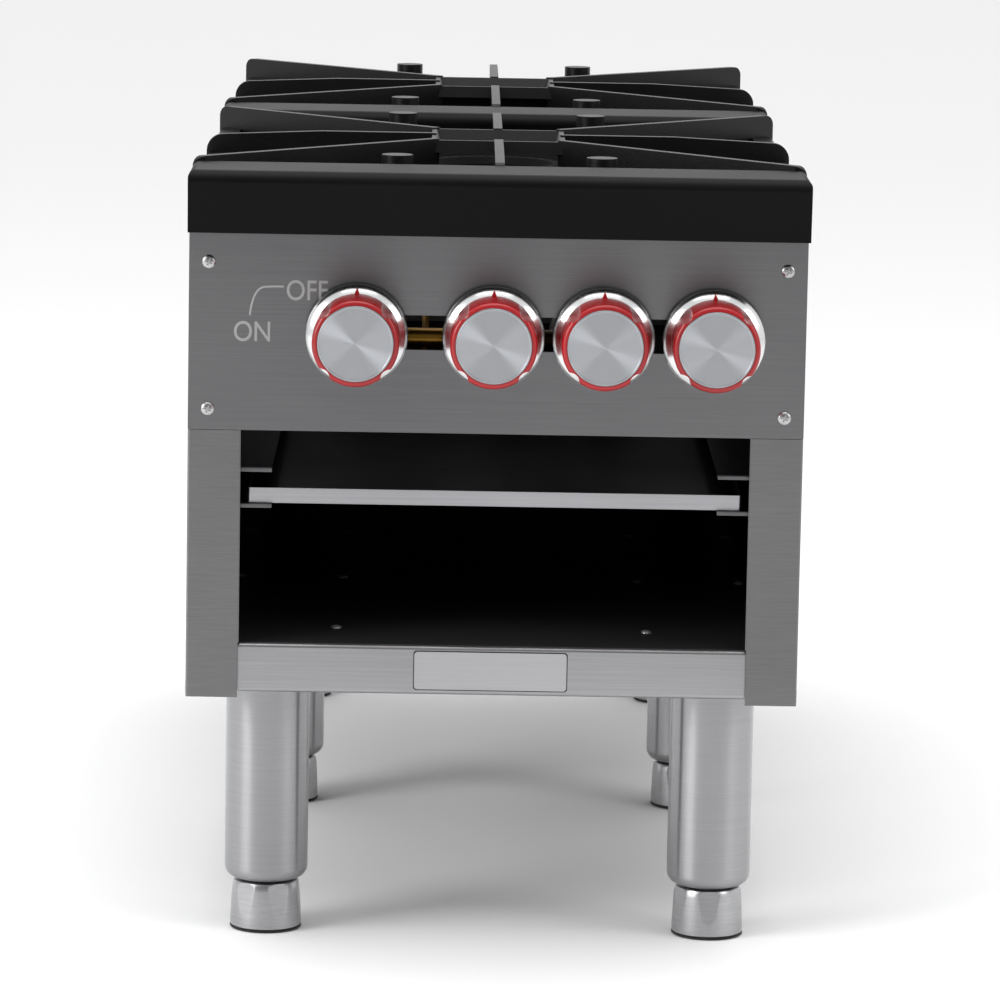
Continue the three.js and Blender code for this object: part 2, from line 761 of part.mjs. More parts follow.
// A pilot valve on the manifold, with a thin tube to a lighting tip beside the outer ring.
function pilotLine(x, tipX, hub, runHeight) {
  const outletEnd = manifoldY + pilotRadius + 6;
  const body = rod(pilotRadius, 'x', [x, manifoldY, pilotHeight], -pilotLength / 2, pilotLength / 2);
  const stub = rod(pilotTipRadius, 'z', [x, manifoldY, 0], tapTop + seat, pilotHeight);
  const outlet = rod(pilotTipRadius, 'y', [x, 0, pilotHeight], manifoldY, outletEnd);
  const tipY = hub - Math.sqrt(outerRingOutside ** 2 - tipX * tipX) - pilotTipGap;
  const tipBottom = burnerHeight - pilotTipDrop;
  const path = new THREE.CatmullRomCurve3([
    new THREE.Vector3(x, outletEnd - 2, pilotHeight),
    new THREE.Vector3(x, outletEnd + pilotLead, pilotHeight),
    new THREE.Vector3(x, outletEnd + pilotDropRun, runHeight),
    new THREE.Vector3(tipX, tipY - pilotTipRun, runHeight),
    new THREE.Vector3(tipX, tipY - 8, runHeight + 10),
    new THREE.Vector3(tipX, tipY, tipBottom),
  ], false, 'centripetal');
  const tip = rod(pilotTipRadius, 'z', [tipX, tipY, 0], tipBottom - 6, tipBottom + 20, 12);
  return joined([body, stub, outlet, tube(path, pilotTubeRadius, 0, 20, 6), tip]);
}

// ---- Knobs ----

function knobStem(x) {
  return rod(stemRadius, 'y', [x, 0, valveHeight], -stemReach, stemDepth, 12);
}

// The chrome skirt, a thin dish that hides the slot.
function knobSkirt(x) {
  const back = -knobGap;
  const shoulder = back - skirtDepth;
  const rimInside = skirtRadius - skirtSheet;
  return turned([
    [skirtRadius, back], [skirtRadius, back - 2],
    [gripRadius, shoulder], [skirtHole, shoulder], [skirtHole, shoulder + skirtSheet],
    [gripRadius - skirtSheet, shoulder + skirtSheet], [rimInside, back - 1],
    [rimInside, back], [skirtRadius, back],
  ], 'y', [x, 0, valveHeight], 24);
}

// The outline of the grip: round, with a hollow for a finger in each quarter.
function gripOutline(x) {
  const points = [];
  const steps = 48;
  for (let i = 0; i < steps; i++) {
    const angle = 2 * Math.PI * i / steps;
    const notch = Math.abs(Math.sin(gripNotches * angle / 2)) ** 6;
    const radius = gripRadius - gripDish * notch;
    points.push(new THREE.Vector2(x + radius * Math.cos(angle), valveHeight + radius * Math.sin(angle)));
  }
  return new THREE.Shape(points);
}

function knobGrip(x) {
  const at = [x, 0, valveHeight];
  const shoulder = -knobGap - skirtDepth;
  const body = prism(gripOutline(x), 'y', -knobReach + capThickness, shoulder - seat);
  const neck = rod(skirtHole - seat, 'y', at, shoulder - 1, -knobGap - 3, 24);
  const recess = rod(capRadius + seat, 'y', at, -knobReach, -knobReach + 2 * capThickness, 24);
  const bore = rod(stemRadius + seat, 'y', at, -stemReach - 1, 0, 12);
  return body.add(neck).subtract(recess).subtract(bore);
}

function knobCap(x) {
  const back = -knobReach + 2 * capThickness - seat;
  return turned([
    [0, back], [capRadius, back], [capRadius, -knobReach + 0.6], [capRadius - 0.8, -knobReach],
    [0, -knobReach],
  ], 'y', [x, 0, valveHeight], 24);
}

// ---- Legs ----

// A drawn tube with a closed top flange and a rolled-in lower end.
function legTube(x, y) {
  const inside = legRadius - legWall;
  const hole = footStemRadius + 0.8;
  const roll = [];
  for (let i = 0; i <= 2; i++) {
    const angle = i * Math.PI / 4;
    const radius = legRadius - legEndRadius + legEndRadius * Math.cos(angle);
    roll.push([radius, legBottom + legEndRadius - legEndRadius * Math.sin(angle)]);
  }
  return turned([
    [0, legTop], [legPlateRadius, legTop], [legPlateRadius, legTop - legPlate],
    [legRadius, legTop - legPlate], ...roll, [hole, legBottom], [hole, legBottom + legWall],
    [legRadius - legEndRadius, legBottom + legWall], [inside, legBottom + legEndRadius],
    [inside, legTop - legPlate], [0, legTop - legPlate],
  ], 'z', [x, y, 0], 16);
}

// A levelling foot: a hexagonal taper on a round base, with its stem up inside the leg.
function foot(x, y) {
  const shoulder = legBottom - seat;
  const hexCorner = footHexFlats / Math.sqrt(3);
  const round = turned([
    [0, 0], [footRadius - 1, 0], [footRadius, 1.5], [footRadius, footBand],
    [footNeck, shoulder - 2], [footNeck - 2, shoulder], [0, shoulder],
  ], 'z', [x, y, 0], 16);
  const hexGeometry = new THREE.CylinderGeometry(hexCorner, hexCorner * 1.09, shoulder - footBand, 6);
  hexGeometry.rotateX(Math.PI / 2);
  hexGeometry.translate(x, y, (shoulder + footBand) / 2);
  const base = rod(footRadius + 5, 'z', [x, y, 0], -1, footBand);
  const body = round.intersect(solidOf(hexGeometry).add(base));
  const stem = rod(footStemRadius, 'z', [x, y, 0], shoulder - 1, footStemTop);
  return body.add(stem);
}

// ---- Assembly ----

const range = new THREE.Group();
range.position.y = -(bodyDepth + inletReach - knobReach) / 2;

function place(name, solid, material) {
  const mesh = new THREE.Mesh(geometryOf(solid), material);
  mesh.name = name;
  range.add(mesh);
}

const sides = { left: -1, right: 1 };

place('front_panel', frontPanel(), stainless);
place('back_panel', backPanel(), aluminised);
place('bottom_shelf', bottomShelf(), stainless);
place('drip_tray', tray(), stainless);
for (const [side, sign] of Object.entries(sides)) {
  place(`${side}_side_panel`, sidePanel(sign), stainless);
  place(`${side}_tray_guide`, trayGuide(sign), aluminised);
}

const railNames = ['front_rail', 'centre_rail'];
const sectionNames = ['front', 'rear'];
sectionNames.forEach((section, i) => {
  place(railNames[i], rail(-railFront + i * sectionPitch, i === 0), blackPaint);
  place(`${section}_grate`, grate(burnerRows[i]), castIron);
  place(`${section}_burner_bracket`, burnerBracket(burnerRows[i]), aluminised);
});

place('front_burner_outer', burner(outerRing, burnerRows[0], knobXs[0], mouthY), castIron);
place('front_burner_inner', burner(innerRing, burnerRows[0], knobXs[1], mouthY), castIron);
place('rear_burner_outer', burner(outerRing, burnerRows[1], rearVenturiXs.outer, rearMouthY), castIron);
place('rear_burner_inner', burner(innerRing, burnerRows[1], rearVenturiXs.inner, rearMouthY), castIron);
place('orifice_bracket', orificeBracket(), aluminised);
place('gas_manifold', manifold(), blackPipe);
place('gas_feed_pipe', feedPipe(), blackPipe);
place('supply_tube_outer', supplyTube(knobXs[3], rearVenturiXs.outer), aluminium);
place('supply_tube_inner', supplyTube(knobXs[2], rearVenturiXs.inner), aluminium);
place('pilot_line_front', pilotLine(pilotXs.front, pilotXs.front, burnerRows[0], pilotHeight), brass);
const rearTipX = (rearVenturiXs.outer + rearVenturiXs.inner) / 2;
place('pilot_line_rear', pilotLine(pilotXs.rear, rearTipX, burnerRows[1], pilotRunHeight), brass);

knobXs.forEach((x, i) => {
  const feedsFrontBurner = i < 2;
  place(`valve_${i + 1}`, valve(x, feedsFrontBurner ? mouthY + 8 : supplyStart), brass);
  place(`knob_${i + 1}_stem`, knobStem(x), brass);
  place(`knob_${i + 1}_skirt`, knobSkirt(x), chrome);
  place(`knob_${i + 1}_grip`, knobGrip(x), redPlastic);
  place(`knob_${i + 1}_cap`, knobCap(x), aluminium);
});

const rowNames = ['front', 'middle', 'rear'];
legRows.forEach((y, i) => {
  place(`${rowNames[i]}_leg_channel`, legChannel(y), aluminised);
  for (const [side, sign] of Object.entries(sides)) {
    place(`${rowNames[i]}_${side}_leg`, legTube(sign * legAcross, y), stainless);
    place(`${rowNames[i]}_${side}_foot`, foot(sign * legAcross, y), stainless);
  }
});

export default range;
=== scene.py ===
import bpy
import math
from mathutils import Matrix, Vector


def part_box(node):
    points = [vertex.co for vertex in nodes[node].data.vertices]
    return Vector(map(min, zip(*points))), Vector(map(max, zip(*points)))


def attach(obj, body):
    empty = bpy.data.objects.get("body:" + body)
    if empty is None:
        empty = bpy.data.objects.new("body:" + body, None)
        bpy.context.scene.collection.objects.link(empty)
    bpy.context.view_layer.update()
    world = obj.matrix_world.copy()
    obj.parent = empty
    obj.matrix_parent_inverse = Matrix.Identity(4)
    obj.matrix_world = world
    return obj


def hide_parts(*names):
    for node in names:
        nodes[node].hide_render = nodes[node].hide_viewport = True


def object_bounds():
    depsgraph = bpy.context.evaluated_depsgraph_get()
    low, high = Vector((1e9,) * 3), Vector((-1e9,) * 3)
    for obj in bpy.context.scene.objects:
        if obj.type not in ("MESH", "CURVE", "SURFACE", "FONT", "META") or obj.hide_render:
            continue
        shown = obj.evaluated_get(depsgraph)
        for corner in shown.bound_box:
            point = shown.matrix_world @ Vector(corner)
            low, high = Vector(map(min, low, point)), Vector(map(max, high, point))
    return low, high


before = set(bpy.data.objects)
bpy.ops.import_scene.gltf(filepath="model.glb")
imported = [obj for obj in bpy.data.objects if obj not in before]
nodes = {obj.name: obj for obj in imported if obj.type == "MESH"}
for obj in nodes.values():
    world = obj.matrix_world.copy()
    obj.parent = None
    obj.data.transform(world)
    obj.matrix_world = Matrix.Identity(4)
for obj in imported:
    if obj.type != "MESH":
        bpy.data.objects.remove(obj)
cadLow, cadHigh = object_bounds()
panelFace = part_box("front_panel")[0].y  # the panel's face; depths below are measured back from it
print("frame loaded:", len(nodes), "nodes")


def at(x, y, z):
    # a point in millimetres: across, back from the panel's face, and up from the floor
    return Vector((x / 1000, panelFace + y / 1000, z / 1000))


# the camera: place in the same millimetres as at(), the angles in degrees, the lens for a 36 mm sensor
photoView = {"place": (-31.55, -3925.5, 961.4), "turn": -0.52, "down": 8.95, "roll": 1.05, "lens": 192.4}


def makeCamera(view):
    bpy.ops.object.camera_add(location=at(*view["place"]))
    camera = bpy.context.object
    camera.name = "photoCamera"
    camera.data.lens = view["lens"]
    camera.data.sensor_width = 36
    camera.data.clip_end = 60
    turn = Matrix.Rotation(math.radians(view["turn"]), 4, "Z")
    tilt = Matrix.Rotation(math.radians(90 - view["down"]), 4, "X")
    roll = Matrix.Rotation(math.radians(view["roll"]), 4, "Z")
    camera.matrix_world = Matrix.Translation(at(*view["place"])) @ turn @ tilt @ roll
    bpy.context.scene.camera = camera


makeCamera(photoView)
bpy.context.scene.view_settings.view_transform = "Standard"  # colours come out as the materials say


def colourOf(hexText):
    # sRGB hex to the linear colour that Blender works in
    parts = [int(hexText[i:i + 2], 16) / 255 for i in (0, 2, 4)]
    return tuple(c / 12.92 if c < 0.04045 else ((c + 0.055) / 1.055) ** 2.4 for c in parts) + (1,)


def addNode(material, kind, values=None, links=None, **settings):
    # one shader node, with its settings, its input values and what feeds its inputs
    tree = material.node_tree
    node = tree.nodes.new("ShaderNode" + kind)
    for key, value in settings.items():
        setattr(node, key, value)
    for key, value in (values or {}).items():
        node.inputs[key].default_value = value
    for key, (source, output) in (links or {}).items():
        tree.links.new(source.outputs[output], node.inputs[key])
    return node


def newMaterial(name, **surface):
    material = bpy.data.materials.new(name)
    material.use_nodes = True
    shader = material.node_tree.nodes["Principled BSDF"]
    for key, value in surface.items():
        shader.inputs[key.replace("_", " ")].default_value = value
    return material, shader


def setRamp(ramp, stops):
    elements = ramp.color_ramp.elements
    while len(elements) < len(stops):
        elements.new(0.5)
    for element, (place, colour) in zip(elements, stops):
        element.position = place
        element.color = colour


def feed(material, shader, socket, node, output):
    material.node_tree.links.new(node.outputs[output], shader.inputs[socket])


def makeBrushedSteel(name, light, dark, roughness, grain, anisotropic=0.0, spread=0.05, inside=None):
    # stainless sheet with a No. 4 finish: long fine scratches along one way, which smear what it
    # reflects across them. A coarse grain gives plated sheet its dull cloud instead.
    # grain is the pattern's scale in lines per metre along x, y and z.
    # inside is (depth, run, share): painted shade inside the range. From that depth on, over that run,
    # the sheet's colour and shine are darkened down to that share.
    material, shader = newMaterial(name, Metallic=1.0, Roughness=roughness, Anisotropic=anisotropic)
    place = addNode(material, "TexCoord")
    grid = addNode(material, "Mapping", {"Scale": grain}, {"Vector": (place, "Object")})
    scratches = addNode(material, "TexNoise", {"Scale": 1.0, "Detail": 3.0, "Roughness": 0.6},
                        {"Vector": (grid, "Vector")})
    clouds = addNode(material, "TexNoise", {"Scale": 5.0, "Detail": 2.0}, {"Vector": (place, "Object")})
    blend = addNode(material, "Mix", {"Factor": 0.4}, data_type="FLOAT")
    tree = material.node_tree
    tree.links.new(scratches.outputs["Fac"], blend.inputs[2])
    tree.links.new(clouds.outputs["Fac"], blend.inputs[3])
    tone = addNode(material, "ValToRGB", links={"Fac": (blend, 0)})
    setRamp(tone, [(0.32, colourOf(dark)), (0.68, colourOf(light))])
    feed(material, shader, "Base Color", tone, "Color")
    if inside:
        depth, run, share = inside
        split = addNode(material, "SeparateXYZ", links={"Vector": (place, "Object")})
        dull = addNode(material, "MapRange", {"From Min": depth, "From Max": depth + run, "To Min": 1.0,
                                              "To Max": share}, {"Value": (split, "Y")})
        darker = addNode(material, "VectorMath", links={0: (tone, "Color")}, operation="SCALE")
        tree.links.new(dull.outputs["Result"], darker.inputs["Scale"])
        feed(material, shader, "Base Color", darker, "Vector")
        feed(material, shader, "Metallic", dull, "Result")
        feed(material, shader, "Specular IOR Level", dull, "Result")
    rough = addNode(material, "MapRange", {"To Min": roughness - spread, "To Max": roughness + spread},
                    {"Value": (scratches, "Fac")})
    feed(material, shader, "Roughness", rough, "Result")
    if anisotropic:
        # the unwrapped sheet's own level direction, turned a quarter to smear across the scratches
        along = addNode(material, "Tangent", direction_type="UV_MAP")
        feed(material, shader, "Tangent", along, "Tangent")
        shader.inputs["Anisotropic Rotation"].default_value = 0.25
    bump = addNode(material, "Bump", {"Strength": 0.06, "Distance": 0.0002},
                   {"Height": (scratches, "Fac")})
    feed(material, shader, "Normal", bump, "Normal")
    return material


def makeCastIron(name, light, dark, roughness, grit, **surface):
    # sand-cast iron, oiled: a pebbly skin from the sand mould and a dull uneven sheen
    material, shader = newMaterial(name, Metallic=0.0, Roughness=roughness, **surface)
    place = addNode(material, "TexCoord")
    sand = addNode(material, "TexNoise", {"Scale": 1000 / grit, "Detail": 4.0, "Roughness": 0.6},
                   {"Vector": (place, "Object")})
    patches = addNode(material, "TexNoise", {"Scale": 14.0, "Detail": 3.0}, {"Vector": (place, "Object")})
    tone = addNode(material, "ValToRGB", links={"Fac": (patches, "Fac")})
    setRamp(tone, [(0.35, colourOf(dark)), (0.7, colourOf(light))])
    feed(material, shader, "Base Color", tone, "Color")
    rough = addNode(material, "MapRange", {"To Min": roughness - 0.1, "To Max": roughness + 0.12},
                    {"Value": (sand, "Fac")})
    feed(material, shader, "Roughness", rough, "Result")
    bump = addNode(material, "Bump", {"Strength": 0.3, "Distance": 0.0005}, {"Height": (sand, "Fac")})
    feed(material, shader, "Normal", bump, "Normal")
    return material


def makeCoated(name, light, dark, roughness, peel, metallic=0.0, bumpHeight=0.0001, **surface):
    # a smooth painted, moulded or plated skin with a faint orange peel and light wear
    material, shader = newMaterial(name, Metallic=metallic, Roughness=roughness, **surface)
    place = addNode(material, "TexCoord")
    skin = addNode(material, "TexNoise", {"Scale": 1000 / peel, "Detail": 2.0},
                   {"Vector": (place, "Object")})
    patches = addNode(material, "TexNoise", {"Scale": 9.0, "Detail": 2.0}, {"Vector": (place, "Object")})
    tone = addNode(material, "ValToRGB", links={"Fac": (patches, "Fac")})
    setRamp(tone, [(0.35, colourOf(dark)), (0.65, colourOf(light))])
    feed(material, shader, "Base Color", tone, "Color")
    low, high = max(roughness - 0.03, 0.02), roughness + 0.05
    rough = addNode(material, "MapRange", {"To Min": low, "To Max": high}, {"Value": (patches, "Fac")})
    feed(material, shader, "Roughness", rough, "Result")
    bump = addNode(material, "Bump", {"Strength": 0.2, "Distance": bumpHeight}, {"Height": (skin, "Fac")})
    feed(material, shader, "Normal", bump, "Normal")
    return material


def makeTurnedAluminium(name, light, dark):
    # a disc faced on a lathe: rings of tool marks about the middle of its unwrapped face, which
    # throw a bow-tie highlight across it
    material, shader = newMaterial(name, Metallic=1.0, Roughness=0.42, Anisotropic=0.92)
    shader.inputs["Anisotropic Rotation"].default_value = 0.25
    place = addNode(material, "TexCoord")
    centred = addNode(material, "Mapping", {"Location": (-0.5, -0.5, 0)}, {"Vector": (place, "UV")})
    rings = addNode(material, "TexWave", {"Scale": 420.0, "Distortion": 0.4, "Detail": 2.0},
                    {"Vector": (centred, "Vector")}, wave_type="RINGS", rings_direction="Z")
    tone = addNode(material, "ValToRGB", links={"Fac": (rings, "Fac")})
    setRamp(tone, [(0.0, colourOf(dark)), (1.0, colourOf(light))])
    feed(material, shader, "Base Color", tone, "Color")
    around = addNode(material, "Tangent", direction_type="RADIAL", axis="Y")
    feed(material, shader, "Tangent", around, "Tangent")
    return material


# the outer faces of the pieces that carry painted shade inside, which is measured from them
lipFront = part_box("bottom_shelf")[0].y
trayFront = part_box("drip_tray")[0].y
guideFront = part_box("left_tray_guide")[0].y
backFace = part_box("back_panel")[1].y
# brushed across the range or along its depth; the lines are drawn about 0.8 mm apart, coarser than
# real ones, so that they show
acrossGrain = (9, 40, 1200)
alongGrain = (40, 9, 1200)
# 304 stainless sheet, brushed level: a soft grey that draws what it reflects into upright smears.
# The photo shows the panel and the sides darker than the lip and the tray's front.
# one stainless steel in lighter and darker copies: the darker tone of the panel and sides is painted
# shade, and the lighter tone of the lip and tray front is painted light
panelSteel = makeBrushedSteel("panelSteel", "7c7c7d", "6e6e70", 0.3, acrossGrain, 0.8)
# the shelf top behind the lip and the inside of the tray are darkened almost to black: painted shade
# inside the range
lipSteel = makeBrushedSteel("lipSteel", "a4a4a6", "939395", 0.32, acrossGrain, 0.5, 0.05,
                            (lipFront + 0.002, 0.003, 0.08))
traySteel = makeBrushedSteel("traySteel", "b0b0b3", "9d9da0", 0.3, acrossGrain, 0.4, 0.05,
                             (trayFront + 0.002, 0.003, 0.015))
sideSteel = makeBrushedSteel("sideSteel", "7e7e7f", "6f6f70", 0.33, alongGrain, 0.6)
# drawn stainless tube, polished round: bright upright bands with fine level rings
legSteel = makeBrushedSteel("legSteel", "a3a3a5", "98989a", 0.3, (12, 12, 1400), 0.85, 0.012)
# cast stainless, ground by hand: brighter, with a looser grain
footSteel = makeBrushedSteel("footSteel", "b4b4b6", "a0a0a2", 0.3, (60, 60, 700), 0.5)
# aluminised steel: a dull cloudy grey, clean on the back. Inside the range it carries painted shade: the
# back panel's inner face and the guides behind their front edges are darkened, and the brackets and
# channels take a whole dark copy of the sheet.
backSheet = makeBrushedSteel("backSheet", "9a9a98", "868684", 0.42, (40, 40, 60), 0.0, 0.05,
                             (backFace - 0.0004, -0.0006, 0.15))
shadedPlatedSheet = makeBrushedSteel("aluminisedSheetInShade", "32312f", "232221", 0.5, (60, 60, 60))
guideSheet = makeBrushedSteel("guideSheet", "6e6e70", "5c5c5e", 0.45, (60, 9, 60), 0.0, 0.05,
                              (guideFront + 0.002, 0.003, 0.02))
# vitreous enamel on the top rails: black, half glossy, with a slight orange peel
blackEnamel = makeCoated("blackEnamel", "09090a", "060607", 0.42, 2.5, Specular_IOR_Level=0.1)
# seasoned grates with a low sheen, and burners burnt to a dry matt black
castIron = makeCastIron("castIron", "0e0e0f", "070708", 0.35, 1.6, Specular_IOR_Level=0.28)
burnerIron = makeCastIron("burnerIron", "0e0d0d", "080808", 0.7, 1.6, Specular_IOR_Level=0.1)
# chrome plate, a nearly clear mirror, and moulded red ABS with a smooth half gloss
chromePlate = makeCoated("chromePlate", "dedede", "d0d1d2", 0.2, 6.0, 1.0, 0.00002)
redPlastic = makeCoated("redAbs", "a50a14", "920911", 0.32, 1.5, 0.0, 0.00003, Coat_Weight=0.1)
# turned brass, yellow on the front line and valves, and a darker, rougher copy on the rear line
rawBrass = makeCoated("turnedBrass", "9a7430", "7c5c24", 0.3, 2.0, 1.0)
darkerBrass = makeCoated("darkerBrass", "33291a", "221b11", 0.45, 2.0, 1.0)
# black iron pipe with its mill scale, and bent soft aluminium tube gone grey
blackPipe = makeCoated("blackPipe", "2a2826", "1c1a19", 0.5, 2.0, 0.6)
softAluminium = makeCoated("softAluminium", "5f605f", "4a4b4a", 0.4, 2.0, 1.0)
# zinc-plated screws and plain steel rivets: small bright dots
screwZinc = makeCoated("screwZinc", "b6b6b6", "a2a2a2", 0.26, 2.0, 1.0, 0.00003)
rivetSteel = makeCoated("rivetSteel", "b4b4b5", "a0a0a1", 0.3, 2.0, 0.6, 0.00003)
# rubber under the feet and behind the bare plate, matt black
blackRubber = makeCoated("blackRubber", "151515", "0d0d0d", 0.6, 1.0)
# aluminium discs faced on a lathe: a pale bow-tie that turns with the light
turnedDisc = makeTurnedAluminium("turnedAluminium", "babcc0", "a8aaae")
# screen-printed pale grey ink, and brushed aluminium for the bare plate
markPaint = makeCoated("markPaint", "9e9e9e", "909090", 0.45, 1.0)
plateAluminium = makeBrushedSteel("badgeAluminium", "b2b2b4", "a6a6a8", 0.36, (9, 40, 1500))
print("materials made")


weld = {"piece": 1e-6, "node": 1e-5}  # points nearer than this, in metres, are merged
wholeTurn = 2 * math.pi


def startClean():
    # operators act on all that is selected, so every piece starts from nothing
    if bpy.context.object and bpy.context.object.mode != "OBJECT":
        bpy.ops.object.mode_set(mode="OBJECT")
    bpy.ops.object.select_all(action="DESELECT")


def pick(piece):
    startClean()
    piece.select_set(True)
    bpy.context.view_layer.objects.active = piece


def applyModifiers(piece):
    bpy.context.view_layer.objects.active = piece
    for modifier in list(piece.modifiers):
        bpy.ops.object.modifier_apply(modifier=modifier.name)


def shapePiece(piece, material, smoothAngle=35):
    # the place goes into the mesh, the faces point out, flat faces shade flat beside rounded
    # edges, and the sheet is unwrapped along its own sides
    pick(piece)
    bpy.ops.object.transform_apply(location=True, rotation=True, scale=True)
    bpy.ops.object.mode_set(mode="EDIT")
    bpy.ops.mesh.select_all(action="SELECT")
    bpy.ops.mesh.remove_doubles(threshold=weld["piece"])
    bpy.ops.mesh.normals_make_consistent(inside=False)
    bpy.ops.uv.cube_project(cube_size=1.0)
    bpy.ops.object.mode_set(mode="OBJECT")
    bpy.ops.object.shade_smooth_by_angle(angle=math.radians(smoothAngle))
    modifier = piece.modifiers.new("weighted", "WEIGHTED_NORMAL")
    modifier.keep_sharp = True
    applyModifiers(piece)
    piece.data.materials.clear()
    piece.data.materials.append(material)


def placePiece(piece, name, body, replaced=()):
    # the body it moves with, and the CAD nodes that it stands for
    piece.name = name
    piece.data.name = name
    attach(piece, body)
    if replaced:
        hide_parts(*replaced)
    piece.select_set(False)


def finishPiece(piece, name, material, body, smoothAngle=35, replaced=()):
    shapePiece(piece, material, smoothAngle)
    placePiece(piece, name, body, replaced)


def copyPiece(master, step):
    # one more of a piece, with a mesh of its own, moved by step
    pick(master)
    bpy.ops.object.duplicate(linked=False)
    piece = bpy.context.object
    bpy.ops.transform.translate(value=step)
    bpy.ops.object.transform_apply(location=True, rotation=True, scale=True)
    return piece


def dropMaster(master):
    bpy.data.objects.remove(master, do_unlink=True)


def stackRings(centre, facing, rings, sides=64, closed=False):
    # a circle drawn out ring by ring along an axis, as on a lathe; rings are (radius, place) in mm
    direction, turn = {
        "front": (Vector((0, -1, 0)), (math.pi / 2, 0, 0)),
        "up": (Vector((0, 0, 1)), (0, 0, 0)),
    }[facing]
    startClean()
    radius, place = rings[0]
    bpy.ops.mesh.primitive_circle_add(vertices=sides, radius=radius / 1000, fill_type="NOTHING",
                                      location=centre + direction * place / 1000, rotation=turn)
    piece = bpy.context.object
    bpy.ops.object.transform_apply(location=True, rotation=True, scale=True)
    bpy.ops.object.mode_set(mode="EDIT")
    bpy.ops.mesh.select_all(action="SELECT")
    if not closed:
        bpy.ops.mesh.edge_face_add()
    last = (radius, place)
    for radius, place in rings[1:]:
        step = direction * (place - last[1]) / 1000
        bpy.ops.mesh.extrude_region_move(TRANSFORM_OT_translate={"value": step})
        size = radius / last[0]
        if abs(size - 1) > 1e-9:
            middle = centre + direction * place / 1000
            bpy.ops.transform.resize(value=(size, size, size), center_override=middle)
        last = (radius, place)
    if closed:
        # the last ring lies on the first, so the two are merged
        bpy.ops.mesh.select_all(action="SELECT")
        bpy.ops.mesh.remove_doubles(threshold=weld["node"])
    bpy.ops.object.mode_set(mode="OBJECT")
    return piece


def turnSolid(centre, facing, rings, sides=64):
    # the same, with both ends filled and the faces pointing out
    piece = stackRings(centre, facing, rings, sides)
    pick(piece)
    bpy.ops.object.mode_set(mode="EDIT")
    bpy.ops.mesh.select_all(action="SELECT")
    bpy.ops.mesh.region_to_loop()
    bpy.ops.mesh.edge_face_add()
    bpy.ops.mesh.select_all(action="SELECT")
    bpy.ops.mesh.normals_make_consistent(inside=False)
    bpy.ops.object.mode_set(mode="OBJECT")
    return piece


def roundEdges(piece, millimetres, segments=2, angle=40):
    modifier = piece.modifiers.new("round", "BEVEL")
    modifier.width = millimetres / 1000
    modifier.segments = segments
    modifier.limit_method = "ANGLE"
    modifier.angle_limit = math.radians(angle)
    applyModifiers(piece)


def cutAway(piece, cutter, operation="DIFFERENCE"):
    # cuts with another closed piece, which is then gone
    modifier = piece.modifiers.new("cut", "BOOLEAN")
    modifier.operation = operation
    modifier.solver = "EXACT"
    modifier.object = cutter
    applyModifiers(piece)
    bpy.data.objects.remove(cutter, do_unlink=True)


def cutPlate(centre, size, corner, thickness):
    # a flat plate with round corners that faces the front; its back lies at centre
    startClean()
    bpy.ops.mesh.primitive_plane_add(size=1, location=centre, rotation=(math.pi / 2, 0, 0))
    piece = bpy.context.object
    piece.scale = (size[0] / 1000, size[1] / 1000, 1)
    bpy.ops.object.transform_apply(location=True, rotation=True, scale=True)
    bpy.ops.object.mode_set(mode="EDIT")
    bpy.ops.mesh.select_all(action="SELECT")
    bpy.ops.mesh.bevel(offset=corner / 1000, offset_type="OFFSET", segments=5, affect="VERTICES")
    bpy.ops.mesh.select_all(action="SELECT")
    bpy.ops.mesh.extrude_region_move(TRANSFORM_OT_translate={"value": (0, -thickness / 1000, 0)})
    bpy.ops.object.mode_set(mode="OBJECT")
    return piece


def takeNode(node):
    # a copy of a CAD node, with its loose triangles merged into whole faces
    startClean()
    source = nodes[node]
    piece = bpy.data.objects.new(node + "Copy", source.data.copy())
    bpy.context.scene.collection.objects.link(piece)
    pick(piece)
    bpy.ops.object.mode_set(mode="EDIT")
    bpy.ops.mesh.select_all(action="SELECT")
    bpy.ops.mesh.remove_doubles(threshold=weld["node"])
    bpy.ops.mesh.dissolve_limited(angle_limit=math.radians(0.6))  # only truly flat faces are joined
    bpy.ops.object.mode_set(mode="OBJECT")
    return piece


def dressNode(node, name, material, body, edge, segments=2, smoothAngle=35):
    # a node's copy with its sharp edges rounded, as folded or cast edges are
    piece = takeNode(node)
    if edge:
        roundEdges(piece, edge, segments)
    finishPiece(piece, name, material, body, smoothAngle, (node,))


# the sheet metal: node, new name, material, slot and the rounding of its edges in mm
sheetPieces = [
    ("front_panel", "frontPanel", panelSteel, "stainless_sheet", 0.5),
    ("left_side_panel", "leftSidePanel", sideSteel, "stainless_sheet", 0.5),
    ("right_side_panel", "rightSidePanel", sideSteel, "stainless_sheet", 0.5),
    ("bottom_shelf", "bottomShelf", lipSteel, "stainless_sheet", 0.4),
    ("back_panel", "backPanel", backSheet, "aluminised_sheet", 0.3),
    ("left_tray_guide", "leftTrayGuide", guideSheet, "aluminised_sheet", 0.5),
    ("right_tray_guide", "rightTrayGuide", guideSheet, "aluminised_sheet", 0.5),
    ("front_burner_bracket", "frontBurnerBracket", shadedPlatedSheet, "aluminised_sheet", 0.3),
    ("rear_burner_bracket", "rearBurnerBracket", shadedPlatedSheet, "aluminised_sheet", 0.3),
    ("orifice_bracket", "orificeBracket", shadedPlatedSheet, "aluminised_sheet", 0.3),
    ("front_leg_channel", "frontLegChannel", shadedPlatedSheet, "aluminised_sheet", 0.3),
    ("middle_leg_channel", "middleLegChannel", shadedPlatedSheet, "aluminised_sheet", 0.3),
    ("rear_leg_channel", "rearLegChannel", shadedPlatedSheet, "aluminised_sheet", 0.3),
]
for node, name, material, slot, edge in sheetPieces:
    dressNode(node, name, material, "chassis", edge)
dressNode("drip_tray", "dripTray", traySteel, "drip_tray", 0.4)
print("sheet metal dressed")


